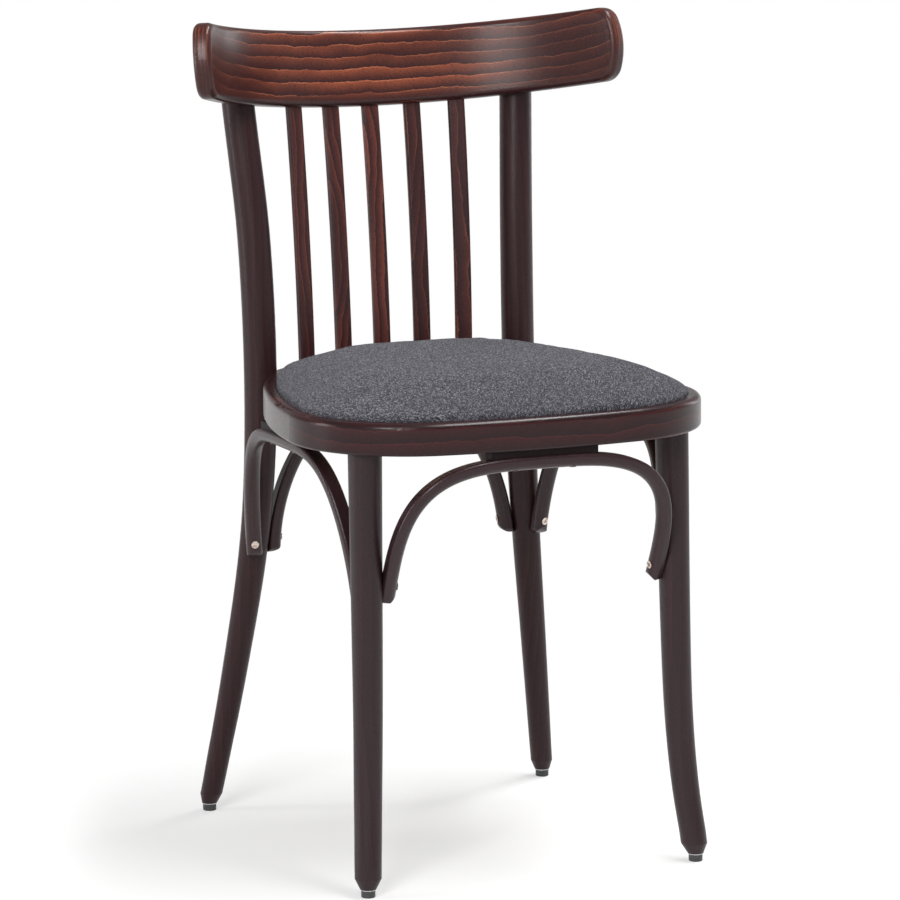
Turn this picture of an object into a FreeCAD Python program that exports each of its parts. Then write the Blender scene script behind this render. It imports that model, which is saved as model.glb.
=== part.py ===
"""Bentwood bistro chair: bowed crest rail, five back slats, arched braces and a drop-in seat pad.

Millimetres, +Z up. The origin is on the floor under the middle of the chair's outline,
+X is the sitter's left-hand side seen from the front, and the chair faces -Y.
"""
import FreeCAD, Part
import math
import os

V = FreeCAD.Vector
os.makedirs("parts", exist_ok=True)

# Seat frame: one bent ring of beech with a recess for the pad
ring_bottom = 423.0
ring_height = 31.0
ring_width = 42.0
ring_front_y = -230.8
ring_back_y = 201.7
ring_half_width = 208.0
ring_front_radius = 790.0
ring_corner_radius = 122.0
ring_side_radius = 650.0
ring_side_turn = 5.0
ring_rear_corner_radius = 70.0
ring_back_radius = 428.0
ring_top_rounding = 6.0
ring_bottom_rounding = 3.5
recess_depth = 8.0

# Front legs: turned, splayed at the foot, tenoned into the ring
leg_foot_x = 172.7
leg_foot_y = -195.5
leg_shin_z = 91.0
leg_shin_x = 165.6
leg_shin_y = -179.8
leg_knee_z = 182.0
leg_knee_x = 162.0
leg_knee_y = -172.8
leg_top_x = 159.7
leg_top_y = -165.6
leg_foot_diameter = 25.6
leg_top_diameter = 32.5
tenon_diameter = 24.0
tenon_length = 18.0

# Back posts: each one bent stick from the floor to the crest rail
post_foot_x = 186.7
post_foot_y = 205.2
post_shin_z = 146.0
post_shin_x = 165.8
post_shin_y = 179.1
post_knee_z = 291.0
post_knee_x = 148.3
post_knee_y = 160.9
post_seat_x = 141.3
post_seat_y = 158.4
post_lumbar_z = 582.0
post_lumbar_x = 142.7
post_lumbar_y = 166.8
post_rail_x = 150.3
post_rail_y = 184.4
post_foot_diameter = 22.0
post_knee_diameter = 29.5
post_diameter = 32.8
post_above_rail_foot = 64.0
post_top_rounding = 5.0
foot_end_diameter = 15.4
foot_taper_height = 10.0
lap_depth = 5.0

# Crest rail: a board bent to a hollow curve and leaned back with the posts
rail_bottom = 712.5
rail_front_y = 200.2
rail_radius = 258.0
rail_thickness = 19.0
rail_height = 77.0
rail_lean = 9.5
rail_end_angle = 57.9
rail_bottom_rise = 6.4
rail_top_rise = 4.2
rail_end_bulge = 10.5
rail_corner_radius = 18.5
rail_edge_radius = 6.0

# Back slats: five flat staves from ring to rail
slat_count = 5
slat_width = 17.4
slat_thickness = 8.6
slat_arris = 2.8
slat_pitch_top = 44.2
slat_pitch_bottom = 42.9
slat_foot_y = 180.7
slat_line_radius = 410.0
slat_bow = 4.0
slat_foot_tenon = 14.0
slat_head_tenon = 15.0

# Arched braces: round bentwood with one flat side, flat side out, leaning out from legs to ring
brace_width = 15.6
brace_thickness = 15.4
brace_crown_thickness = 13.2
brace_straight_side = 6.0
brace_arris_radius = 3.4
brace_end_depth_radius = 15.5
brace_end_width_radius = 9.5
brace_end_tip = 1.0
brace_top = 416.8
brace_sink = 0.8
brace_twist = 15.0
brace_foot_front = 278.5
brace_foot_rear = 270.5
front_brace_bow = 56.7
front_brace_square_across = 3.4
front_brace_square_up = 3.45
front_brace_lean_power = 1.27
front_brace_inset = 6.0
side_brace_bow = 22.3
side_brace_square_across = 3.9
side_brace_square_up = 1.5
side_brace_lean_power = 0.75
side_brace_front_inset = 3.2
side_brace_rear_inset = -4.4
rear_brace_bow = 5.0
rear_brace_square_across = 3.0
rear_brace_square_up = 1.6
rear_brace_lean_power = 3.0
rear_brace_inset = -1.2
rear_brace_twist = 11.0
spacer_length = 110.0
spacer_width = 15.0
spacer_inset = 3.0

# Seat pad: plywood board, foam and a woven cover wrapped under the board
pad_front_rim = 13.0
pad_back_gap = 31.0
pad_back_radius = 470.0
pad_rear_corner_radius = 66.0
pad_clearance = 0.8
pad_board_thickness = 9.0
pad_crown = 34.0
pad_edge_height = 3.5
pad_crown_power = 2.4
pad_shoulder_power = 1.9
cover_thickness = 1.3
cover_turn_in = 38.0
staple_count = 28
staple_inset = 33.0
staple_length = 10.0
staple_wire = 0.7

# Fasteners and feet
screw_diameter = 4.0
screw_head_diameter = 7.6
screw_head_height = 2.4
screw_recess = 1.4
brace_screw_length = 31.0
brace_screw_rise = 16.0
top_screw_spacing = 60.0
top_screw_length = 34.0
rail_screw_length = 30.0
rail_screw_gap = 40.0
rail_screw_rise = 18.0
pad_screw_length = 26.0
bolt_diameter = 6.0
bolt_clearance = 0.3
bolt_head_diameter = 11.5
bolt_head_height = 4.0
bolt_washer_diameter = 16.0
bolt_washer_thickness = 1.5
bolt_reach = 8.0
insert_diameter = 9.5
insert_length = 15.0
glide_diameter = 13.6
glide_height = 7.0
glide_rounding = 1.2
glide_washer_diameter = 14.6
glide_washer_thickness = 0.8
glide_nail_diameter = 2.6
glide_nail_length = 18.0

ring_top = ring_bottom + ring_height
recess_floor = ring_top - recess_depth
leg_bottom = glide_height + glide_washer_thickness


def smooth(z, stations):
    """Value at height z on a smooth curve through (height, value) stations."""
    zs = [s[0] for s in stations]
    vs = [s[1] for s in stations]
    last = len(zs) - 1
    i = 0
    while i < last - 1 and z > zs[i + 1]:
        i += 1

    def slope(k):
        low = max(k - 1, 0)
        high = min(k + 1, last)
        return (vs[high] - vs[low]) / (zs[high] - zs[low])

    span = zs[i + 1] - zs[i]
    t = (z - zs[i]) / span
    if t > 1.0:
        return vs[last] + slope(last) * (z - zs[last])
    h = t * t * (3.0 - 2.0 * t)
    rise = span * (t * (1.0 - t) ** 2 * slope(i) - t * t * (1.0 - t) * slope(i + 1))
    return vs[i] * (1.0 - h) + vs[i + 1] * h + rise


def leg_axis(z):
    xs = [(0.0, leg_foot_x), (leg_shin_z, leg_shin_x), (leg_knee_z, leg_knee_x), (ring_bottom, leg_top_x)]
    ys = [(0.0, leg_foot_y), (leg_shin_z, leg_shin_y), (leg_knee_z, leg_knee_y), (ring_bottom, leg_top_y)]
    return V(smooth(z, xs), smooth(z, ys), z)


def leg_radius(z):
    share = min(z / ring_bottom, 1.0)
    return (leg_foot_diameter + (leg_top_diameter - leg_foot_diameter) * share) / 2.0


def post_axis(z):
    heights = [0.0, post_shin_z, post_knee_z, ring_bottom, post_lumbar_z, rail_bottom]
    xs = [post_foot_x, post_shin_x, post_knee_x, post_seat_x, post_lumbar_x, post_rail_x]
    ys = [post_foot_y, post_shin_y, post_knee_y, post_seat_y, post_lumbar_y, post_rail_y]
    return V(smooth(z, list(zip(heights, xs))), smooth(z, list(zip(heights, ys))), z)


def post_radius(z):
    stations = [(0.0, post_foot_diameter), (post_knee_z, post_knee_diameter), (ring_bottom, post_diameter),
                (rail_bottom, post_diameter)]
    return smooth(min(z, rail_bottom), stations) / 2.0


def round_wire(radius, centre):
    return Part.Wire(Part.makeCircle(radius, centre, V(0, 0, 1)))


def bent_stick(axis, radius, low, high, count):
    """Round stick from a foot height up, its thickness changing along it and its foot turned to a taper."""
    start = low + foot_taper_height
    wires = []
    for i in range(count + 1):
        z = start + (high - start) * i / count
        wires.append(round_wire(radius(z), axis(z)))
    foot = Part.makeLoft([round_wire(foot_end_diameter / 2.0, axis(low)), wires[0]], True, True)
    return Part.makeLoft(wires, True, False).fuse(foot)


def edges_at(shape, z):
    return [e for e in shape.Edges if abs(e.BoundBox.ZMin - z) < 1e-4 and abs(e.BoundBox.ZMax - z) < 1e-4]


def mirrored(shape):
    return shape.mirror(V(0, 0, 0), V(1, 0, 0))


class Outline:
    """Seat-shaped closed outline of tangent arcs, the same on both sides of the middle."""

    def __init__(self, front_y, back_y, half_width, front_r, corner_r, side_r, rear_r, back_r):
        self.front = V(0, front_y + front_r, 0)
        self.front_r = front_r
        corner_x = half_width - corner_r
        self.corner = V(corner_x, self.front.y - math.sqrt((front_r - corner_r) ** 2 - corner_x ** 2), 0)
        self.corner_r = corner_r
        turn = math.radians(ring_side_turn)
        self.side_dir = V(math.cos(turn), math.sin(turn), 0)
        self.side = self.corner - self.side_dir * (side_r - corner_r)
        self.side_r = side_r
        self.back = V(0, back_y - back_r, 0)
        self.back_r = back_r
        self.rear = self.meet(self.side, side_r - rear_r, self.back, back_r - rear_r)
        self.rear_r = rear_r

    def meet(self, a, ra, b, rb):
        """The rear one of the two points at distance ra from a and rb from b."""
        line = b - a
        d = line.Length
        along = (ra * ra - rb * rb + d * d) / (2.0 * d)
        off = math.sqrt(ra * ra - along * along)
        ux = line.x / d
        uy = line.y / d
        points = [V(a.x + ux * along - uy * off * k, a.y + uy * along + ux * off * k, 0) for k in (1, -1)]
        return max(points, key=lambda p: p.y)

    def wire(self, inset, z, scale=1.0, centre_y=0.0):
        def unit(v):
            return v * (1.0 / v.Length)

        front_dir = unit(self.corner - self.front)
        rear_dir = unit(self.rear - self.side)
        back_dir = unit(self.rear - self.back)
        spans = [(self.front, self.front_r, V(0, -1, 0), front_dir),
                 (self.corner, self.corner_r, front_dir, self.side_dir),
                 (self.side, self.side_r, self.side_dir, rear_dir),
                 (self.rear, self.rear_r, rear_dir, back_dir),
                 (self.back, self.back_r, back_dir, V(0, 1, 0))]

        def place(centre, r, direction, side):
            p = centre + direction * (r - inset)
            return V(p.x * scale * side, centre_y + (p.y - centre_y) * scale, z)

        edges = []
        for centre, r, start, end in spans:
            middle = unit(start + end)
            ends = [place(centre, r, d, 1) for d in (start, middle, end)]
            edges.append(Part.Arc(ends[0], ends[1], ends[2]).toShape())
        for centre, r, start, end in reversed(spans):
            middle = unit(start + end)
            ends = [place(centre, r, d, -1) for d in (end, middle, start)]
            edges.append(Part.Arc(ends[0], ends[1], ends[2]).toShape())
        return Part.Wire(edges)

    def slab(self, inset, low, high):
        return Part.Face(self.wire(inset, low)).extrude(V(0, 0, high - low))


def screw(length, head_at, direction):
    """Countersunk wood screw with a cross recess, its head flush at head_at."""
    r = screw_diameter / 2.0
    head = Part.makeCone(screw_head_diameter / 2.0, r, screw_head_height)
    body = Part.makeCylinder(r, length - 2.0 * r, V(0, 0, 0))
    tip = Part.makeCone(r, r * 0.15, 2.0 * r, V(0, 0, length - 2.0 * r))
    shape = head.fuse([body, tip]).removeSplitter()
    arm = screw_head_diameter * 0.62
    slot = screw_head_diameter * 0.14
    for turn in (0, 90):
        bar = Part.makeBox(arm, slot, screw_recess, V(-arm / 2.0, -slot / 2.0, 0))
        bar.rotate(V(0, 0, 0), V(0, 0, 1), turn + 45)
        shape = shape.cut(bar)
    return placed(shape, head_at, direction)


def screw_hole(length, head_at, direction):
    """What a screw takes out of the wood, with the head's countersink."""
    r = screw_diameter / 2.0
    head = Part.makeCone(screw_head_diameter / 2.0, r, screw_head_height)
    mouth = Part.makeCylinder(screw_head_diameter / 2.0, screw_head_diameter, V(0, 0, -screw_head_diameter))
    body = Part.makeCylinder(r, length)
    return placed(head.fuse([mouth, body]), head_at, direction)


def placed(shape, at, direction):
    """The shape with its own +Z turned to a direction and its origin moved to a point."""
    turn = FreeCAD.Rotation(V(0, 0, 1), direction)
    shape.Placement = FreeCAD.Placement(at, turn).multiply(shape.Placement)
    return shape


def save(name, shapes):
    """Write one node, a single solid or a group of alike solids."""
    solids = shapes if isinstance(shapes, list) else [shapes]
    loose = []
    for s in solids:
        loose += s.Solids
    for s in loose:
        if not s.isValid():
            print("not valid:", name)
    shape = loose[0] if len(loose) == 1 else Part.makeCompound(loose)
    shape.exportStep("parts/" + name + ".step")
    box = shape.BoundBox
    print("%-22s %2d solids %9.0f mm3  x %7.1f %7.1f  y %7.1f %7.1f  z %6.1f %6.1f" % (
        name, len(loose), shape.Volume, box.XMin, box.XMax, box.YMin, box.YMax, box.ZMin, box.ZMax))


# Crest rail, made flat in its own frame, then leaned back
lean = math.radians(rail_lean)
rail_front_radius = rail_radius - rail_thickness / 2.0
rail_up = V(0, math.sin(lean), math.cos(lean))


def rail_place(shape):
    shape.Placement = FreeCAD.Placement(V(0, rail_front_y, rail_bottom), FreeCAD.Rotation(V(1, 0, 0), -rail_lean))
    return shape


def rail_point(x, depth, rise):
    """Point of the leaned rail at a sideways place, a depth behind its front face and a rise."""
    r = rail_front_radius + depth
    back = math.sqrt(r * r - x * x) - rail_front_radius
    return V(x, rail_front_y + back * math.cos(lean) + rise * math.sin(lean),
             rail_bottom - back * math.sin(lean) + rise * math.cos(lean))


def rail_band(inner, outer, low, high, angle):
    """Piece of a hollow cylinder about the rail's own axis, within an angle of the middle."""
    def at(r, degrees):
        a = math.radians(degrees)
        return V(r * math.sin(a), r * math.cos(a) - rail_front_radius, low)

    edges = [Part.Arc(at(outer, -angle), at(outer, 0), at(outer, angle)).toShape(),
             Part.makeLine(at(outer, angle), at(inner, angle)),
             Part.Arc(at(inner, angle), at(inner, 0), at(inner, -angle)).toShape(),
             Part.makeLine(at(inner, -angle), at(outer, -angle))]
    return Part.Face(Part.Wire(edges)).extrude(V(0, 0, high - low))


def rail_board():
    """The bent board with its sawn top and bottom edges and its bulged ends, arrises still sharp."""
    bulge_angle = math.degrees(rail_end_bulge / rail_radius)
    half_span = rail_radius * math.sin(math.radians(rail_end_angle))
    board = rail_band(rail_front_radius, rail_front_radius + rail_thickness, -rail_height, 2.0 * rail_height,
                      rail_end_angle + bulge_angle)
    deep = rail_radius * 2.0
    reach = half_span + rail_end_bulge * 3.0
    rise = (reach / half_span) ** 2
    low = Part.Arc(V(-reach, -deep, rail_bottom_rise * rise), V(0, -deep, 0),
                   V(reach, -deep, rail_bottom_rise * rise)).toShape()
    top_end = rail_height + rail_top_rise * rise
    high = Part.Arc(V(reach, -deep, top_end), V(0, -deep, rail_height), V(-reach, -deep, top_end)).toShape()
    sides = [Part.makeLine(low.Vertexes[1].Point, high.Vertexes[0].Point),
             Part.makeLine(high.Vertexes[1].Point, low.Vertexes[0].Point)]
    profile = Part.Face(Part.Wire([low, sides[0], high, sides[1]])).extrude(V(0, 2.0 * deep, 0))
    board = board.common(profile)
    end_height = rail_height + rail_top_rise - rail_bottom_rise
    middle_rise = (rail_bottom_rise + rail_height + rail_top_rise) / 2.0
    round_r = ((end_height / 2.0) ** 2 + rail_end_bulge ** 2) / (2.0 * rail_end_bulge)
    for side in (1, -1):
        angle = side * (rail_end_angle + bulge_angle)
        box = Part.makeBox(round_r, 4.0 * rail_thickness, 2.0 * round_r, V(0, -2.0 * rail_thickness, -round_r))
        drum = Part.makeCylinder(round_r, 4.0 * rail_thickness, V(0, -2.0 * rail_thickness, 0), V(0, 1, 0))
        box.translate(V(0, 0, 0))
        tool = box.cut(drum)
        tool.translate(V(-round_r, rail_radius, middle_rise))
        if side < 0:
            tool = tool.mirror(V(0, 0, 0), V(1, 0, 0))
        tool.rotate(V(0, 0, 0), V(0, 0, 1), -angle)
        tool.translate(V(0, -rail_front_radius, 0))
        board = board.cut(tool)
    return board


board = rail_board()
thickness_edges = [e for e in board.Edges if abs(e.Length - rail_thickness) < rail_thickness * 0.12
                   and abs(e.Vertexes[0].Z - e.Vertexes[1].Z) < 1.0]
rounded = board.makeFillet(rail_corner_radius, thickness_edges)
rounded = rounded.makeFillet(rail_edge_radius, [e for e in rounded.Edges if e.Length > rail_corner_radius * 0.4
                             and e not in thickness_edges])
crest_rail = rail_place(rounded)
rail_blank = rail_place(board.copy())

# Back slats, bowed a little, twisted square to the rail
slats = []
half_count = (slat_count - 1) / 2.0
for i in range(slat_count):
    step = i - half_count
    foot = V(step * slat_pitch_bottom, 0, ring_top)
    foot.y = slat_foot_y - slat_line_radius + math.sqrt(slat_line_radius ** 2 - foot.x ** 2)
    head = rail_point(step * slat_pitch_top, rail_thickness / 2.0, 0.0)
    turn = -math.degrees(math.asin(head.x / rail_radius))
    low = ring_top - slat_foot_tenon
    high = head.z + slat_head_tenon
    wires = []
    stations = 8
    for k in range(stations + 1):
        z = low + (high - low) * k / stations
        t = (z - foot.z) / (head.z - foot.z)
        centre = foot + (head - foot) * t
        centre.y -= 4.0 * slat_bow * t * (1.0 - t)
        centre.z = z
        a = slat_width / 2.0
        b = slat_thickness / 2.0
        c = slat_arris
        corners = []
        for cx, cy, start in ((a - c, b - c, 0), (c - a, b - c, 90), (c - a, c - b, 180), (a - c, c - b, 270)):
            corners.append(Part.ArcOfCircle(Part.Circle(V(cx, cy, 0), V(0, 0, 1), c), math.radians(start),
                                            math.radians(start + 90)).toShape())
        edges = []
        for n in range(4):
            edges.append(corners[n])
            edges.append(Part.makeLine(corners[n].Vertexes[1].Point, corners[(n + 1) % 4].Vertexes[0].Point))
        wire = Part.Wire(edges)
        wire.Placement = FreeCAD.Placement(centre, FreeCAD.Rotation(V(0, 0, 1), turn))
        wires.append(wire)
    slats.append(Part.makeLoft(wires, True, False))
crest_rail = crest_rail.cut(slats)

# Back posts: tapered foot, rounded top, a lap for the rail and one for the ring
post_top = rail_bottom + post_above_rail_foot
post = bent_stick(post_axis, post_radius, leg_bottom, post_top, 22)
post = post.makeFillet(post_top_rounding, edges_at(post, post_top))
post = post.cut(rail_blank)
post = max(post.Solids, key=lambda s: s.Volume)

ring_outline = Outline(ring_front_y, ring_back_y, ring_half_width, ring_front_radius, ring_corner_radius,
                       ring_side_radius, ring_rear_corner_radius, ring_back_radius)
lap_middle = post_axis(ring_bottom + ring_height / 2.0)
lap_dir = V(lap_middle.x, lap_middle.y, 0) - ring_outline.rear
lap_dir = lap_dir * (1.0 / lap_dir.Length)
lap_at = ring_outline.rear_r - lap_depth
lap_block = Part.makeBox(ring_width, 3.0 * post_diameter, ring_height, V(-ring_width, -1.5 * post_diameter, 0))
lap_block.Placement = FreeCAD.Placement(ring_outline.rear + lap_dir * lap_at + V(0, 0, ring_bottom),
                                        FreeCAD.Rotation(V(1, 0, 0), lap_dir))
post = post.cut(lap_block)

# Bolt through the ring into a threaded insert in the post
bolt_z = (ring_bottom + recess_floor) / 2.0
bolt_start = ring_outline.rear + lap_dir * (ring_outline.rear_r - ring_width) + V(0, 0, bolt_z)
bolt_to_lap = ring_width - lap_depth
insert_start = bolt_start + lap_dir * bolt_to_lap
spot_depth = bolt_washer_diameter ** 2 / (8.0 * (ring_outline.rear_r - ring_width)) + 1.0
seat_start = bolt_start + lap_dir * spot_depth
lapped_post = post
post = post.cut(Part.makeCylinder(insert_diameter / 2.0, insert_length, insert_start, lap_dir))
bolt_shank_length = bolt_to_lap - spot_depth + insert_length
bolt_hole_radius = bolt_diameter / 2.0 + bolt_clearance
bolt_hole = Part.makeCylinder(bolt_hole_radius, bolt_to_lap + bolt_reach, bolt_start - lap_dir * bolt_reach, lap_dir)
spot_face = Part.makeCylinder(bolt_washer_diameter / 2.0 + bolt_clearance, spot_depth + bolt_reach,
                              bolt_start - lap_dir * bolt_reach, lap_dir)
washer = Part.makeCylinder(bolt_washer_diameter / 2.0, bolt_washer_thickness,
                           seat_start - lap_dir * bolt_washer_thickness, lap_dir)
washer = washer.cut(Part.makeCylinder(bolt_diameter / 2.0, 3.0 * bolt_washer_thickness,
                                      seat_start - lap_dir * 2.0 * bolt_washer_thickness, lap_dir))
head_start = seat_start - lap_dir * (bolt_washer_thickness + bolt_head_height)
hexagon = Part.makePolygon([V(math.cos(math.radians(60 * k)) * bolt_head_diameter / 2.0,
                              math.sin(math.radians(60 * k)) * bolt_head_diameter / 2.0, 0) for k in range(7)])
bolt_head = placed(Part.Face(hexagon).extrude(V(0, 0, bolt_head_height)), head_start, lap_dir)
bolt_end = bolt_washer_thickness + bolt_shank_length
bolt = bolt_head.fuse(Part.makeCylinder(bolt_diameter / 2.0, bolt_end, seat_start - lap_dir * bolt_washer_thickness,
                                        lap_dir)).removeSplitter()
insert = Part.makeCylinder(insert_diameter / 2.0, insert_length, insert_start, lap_dir)
insert = insert.cut(Part.makeCylinder(bolt_diameter / 2.0, insert_length, insert_start, lap_dir))

# Front legs with a round tenon
leg = bent_stick(leg_axis, leg_radius, leg_bottom, ring_bottom, 12)
tenon = Part.makeCylinder(tenon_diameter / 2.0, tenon_length, leg_axis(ring_bottom))
leg = leg.fuse(tenon)

# Seat ring: band, rounded outside, recess, sockets, mortises and laps
seat_ring = ring_outline.slab(0.0, ring_bottom, ring_top)
seat_ring = seat_ring.makeFillet(ring_top_rounding, edges_at(seat_ring, ring_top))
seat_ring = seat_ring.makeFillet(ring_bottom_rounding, edges_at(seat_ring, ring_bottom))
seat_ring = seat_ring.cut(ring_outline.slab(ring_width, ring_bottom - 1.0, ring_top + 1.0))
pad_outline = Outline(ring_front_y + pad_front_rim, ring_back_y - pad_back_gap, ring_half_width - pad_front_rim,
                      ring_front_radius - pad_front_rim, ring_corner_radius - pad_front_rim,
                      ring_side_radius - pad_front_rim, pad_rear_corner_radius, pad_back_radius)
seat_ring = seat_ring.cut(pad_outline.slab(-pad_clearance, recess_floor, ring_top + 1.0))
seat_ring = seat_ring.cut([tenon, mirrored(tenon)] + slats)
seat_ring = seat_ring.cut([lapped_post, mirrored(lapped_post), bolt_hole, mirrored(bolt_hole), spot_face, mirrored(spot_face)])

# Arched braces: each is a bent line between two legs that leans out as it rises


class Brace:
    """Arch of flat-sided round stick; its flat outer face bears on the two legs it ties together."""

    def __init__(self, start, end, outward, bow, square_across, square_up, lean_power, twist, feet):
        chord = end - start
        self.half = chord.Length / 2.0
        self.along = chord * (1.0 / chord.Length)
        outward = outward - self.along * outward.dot(self.along)
        self.outward = outward * (1.0 / outward.Length)
        outward = self.outward
        self.bow = bow
        self.middle = (start + end) * 0.5
        self.twist = twist
        self.feet = feet
        self.low = min(feet)
        self.points = []
        rise = brace_top - self.low
        count = 360
        for k in range(count + 1):
            a = math.pi * (k / count - 0.5)
            side = 1.0 if a >= 0 else -1.0
            h = max(math.cos(a), 0.0) ** (2.0 / square_up)
            u = side * self.half * abs(math.sin(a)) ** (2.0 / square_across)
            out = bow * (1.0 - (1.0 - h) ** lean_power)
            self.points.append(self.middle + self.along * u + outward * out + V(0, 0, self.low + rise * h))
        self.lengths = [0.0]
        for k in range(count):
            self.lengths.append(self.lengths[k] + (self.points[k + 1] - self.points[k]).Length)

    def at(self, share):
        """Point of the flat face's middle line at a share of its whole length."""
        want = min(max(share, 0.0), 1.0) * self.lengths[-1]
        k = 0
        while k < len(self.points) - 2 and self.lengths[k + 1] < want:
            k += 1
        t = (want - self.lengths[k]) / (self.lengths[k + 1] - self.lengths[k])
        return self.points[k] + (self.points[k + 1] - self.points[k]) * t

    def frame(self, share):
        """Point, direction along, direction across and outward normal of the flat face."""
        step = 0.012
        run = self.at(share + step) - self.at(share - step)
        run = run * (1.0 / run.Length)
        across = self.outward - run * self.outward.dot(run)
        across = across * (1.0 / across.Length)
        point = self.at(share)
        height = (point.z - self.low) / (brace_top - self.low)
        turn = self.twist * (1.0 - height) ** 2
        if self.along.cross(self.outward).z < 0:
            turn = -turn
        across = FreeCAD.Rotation(run, turn).multVec(across)
        normal = across.cross(run)
        up = V(0, 0, 1) if abs(share - 0.5) < 0.25 else self.along * (1.0 if share > 0.5 else -1.0)
        if normal.dot(up) < 0:
            normal = normal * -1.0
        return point, run, across, normal

    def section(self, share):
        """Closed section of a round stick with one flat: flat side out, round side to the inside of the arch."""
        point, run, across, normal = self.frame(share)
        h = brace_width / 2.0

        share_up = (point.z - self.low) / (brace_top - self.low)
        thick = brace_crown_thickness + (brace_thickness - brace_crown_thickness) * (1.0 - share_up) ** 2

        def at(side, down):
            return point + across * side - normal * down

        straight = brace_straight_side
        r = brace_arris_radius
        turn = r * (1.0 - math.sqrt(0.5))
        return Part.Wire([Part.makeLine(at(r - h, 0), at(h - r, 0)),
                          Part.Arc(at(h - r, 0), at(h - turn, turn), at(h, r)).toShape(),
                          Part.makeLine(at(h, r), at(h, straight)),
                          Part.Arc(at(h, straight), at(0, thick), at(-h, straight)).toShape(),
                          Part.makeLine(at(-h, straight), at(-h, r)),
                          Part.Arc(at(-h, r), at(turn - h, turn), at(r - h, 0)).toShape()])

    def solid(self):
        count = 44
        return Part.makeLoft([self.section(k / count) for k in range(count + 1)], True, False)

    def share_at(self, z, end):
        """Share of the length at which the given end (0 or 1) passes a height."""
        shares = [k / 2000.0 for k in range(1000)]
        if end == 1:
            shares = [1.0 - v for v in shares]
        return next(v for v in shares if self.at(v).z >= z)

    def spacer(self):
        """Packing block between the arch's crown and the ring."""
        low = brace_top - brace_crown_thickness / 2.0
        block = Part.makeBox(spacer_width, spacer_length, ring_bottom - low,
                             V(-spacer_width / 2.0, -spacer_length / 2.0, 0))
        at = self.middle + self.outward * (self.bow - spacer_inset) + V(0, 0, low)
        block.Placement = FreeCAD.Placement(at, FreeCAD.Rotation(V(1, 0, 0), self.outward))
        return block

    def trimmed(self):
        """The arch sawn off at both feet, each end rounded over its width and its thickness."""
        blocks = []
        for end in (0, 1):
            point, run, across, normal = self.frame(self.share_at(self.feet[end], end))
            down = run * (1.0 if end else -1.0)
            face = down.cross(across)
            tip = -brace_end_tip if normal.dot(face) > 0 else brace_end_tip
            for radius, axis, shift in ((brace_end_width_radius, V(0, 1, 0), 0.0),
                                        (brace_end_depth_radius, V(1, 0, 0), tip)):
                reach = 3.0 * brace_width
                block = Part.makeBox(2.0 * reach, 2.0 * reach, reach + radius, V(-reach, -reach, -radius))
                drum = Part.makeCylinder(radius, 2.0 * reach, V(0, shift, -radius) - axis * reach, axis)
                block = block.cut(drum)
                block.Placement = FreeCAD.Placement(point, FreeCAD.Rotation(across, face, down, "XYZ"))
                blocks.append(block)
        arch = self.solid().cut(blocks)
        return max(arch.Solids, key=lambda s: s.Volume)


def brace_between(axis_a, radius_a, axis_b, radius_b, bow, square_across, square_up, lean_power, twist, feet, outward,
                  insets):
    """Brace whose two ends bear on the facing sides of two round legs."""
    low = min(feet)
    a = axis_a(feet[0] + brace_screw_rise)
    b = axis_b(feet[1] + brace_screw_rise)
    a.z = 0
    b.z = 0
    along = (b - a) * (1.0 / (b - a).Length)
    outward = outward - along * outward.dot(along)
    outward = outward * (1.0 / outward.Length)
    ends = []
    for foot, inset, axis_at, radius, towards in ((feet[0], insets[0], a, radius_a, along),
                                                  (feet[1], insets[1], b, radius_b, along * -1.0)):
        h = (foot + brace_screw_rise - low) / (brace_top - low)
        early = bow * (1.0 - (1.0 - h) ** lean_power) - inset
        reach = math.sqrt(radius(foot) ** 2 - early ** 2) - brace_sink
        ends.append(axis_at + towards * reach - outward * inset)
    return Brace(ends[0], ends[1], outward, bow, square_across, square_up, lean_power, twist, feet)


def flip(axis):
    return lambda z: V(-axis(z).x, axis(z).y, z)


front_feet = (brace_foot_front, brace_foot_front)
rear_feet = (brace_foot_rear, brace_foot_rear)
side_feet = (brace_foot_front, brace_foot_rear)
braces = {
    "front": brace_between(flip(leg_axis), leg_radius, leg_axis, leg_radius, front_brace_bow,
                           front_brace_square_across, front_brace_square_up, front_brace_lean_power, brace_twist,
                           front_feet, V(0, -1, 0), (front_brace_inset, front_brace_inset)),
    "rear": brace_between(flip(post_axis), post_radius, post_axis, post_radius, rear_brace_bow,
                          rear_brace_square_across, rear_brace_square_up, rear_brace_lean_power, rear_brace_twist,
                          rear_feet, V(0, 1, 0), (rear_brace_inset, rear_brace_inset)),
    "left": brace_between(leg_axis, leg_radius, post_axis, post_radius, side_brace_bow,
                          side_brace_square_across, side_brace_square_up, side_brace_lean_power, brace_twist,
                          side_feet, V(1, 0, 0), (side_brace_front_inset, side_brace_rear_inset)),
}
sticks = [leg, mirrored(leg), post, mirrored(post)]
brace_solids = {}
spacer_solids = {}
end_screws = []
top_screws = []
end_holes = []
top_holes = []
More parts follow.
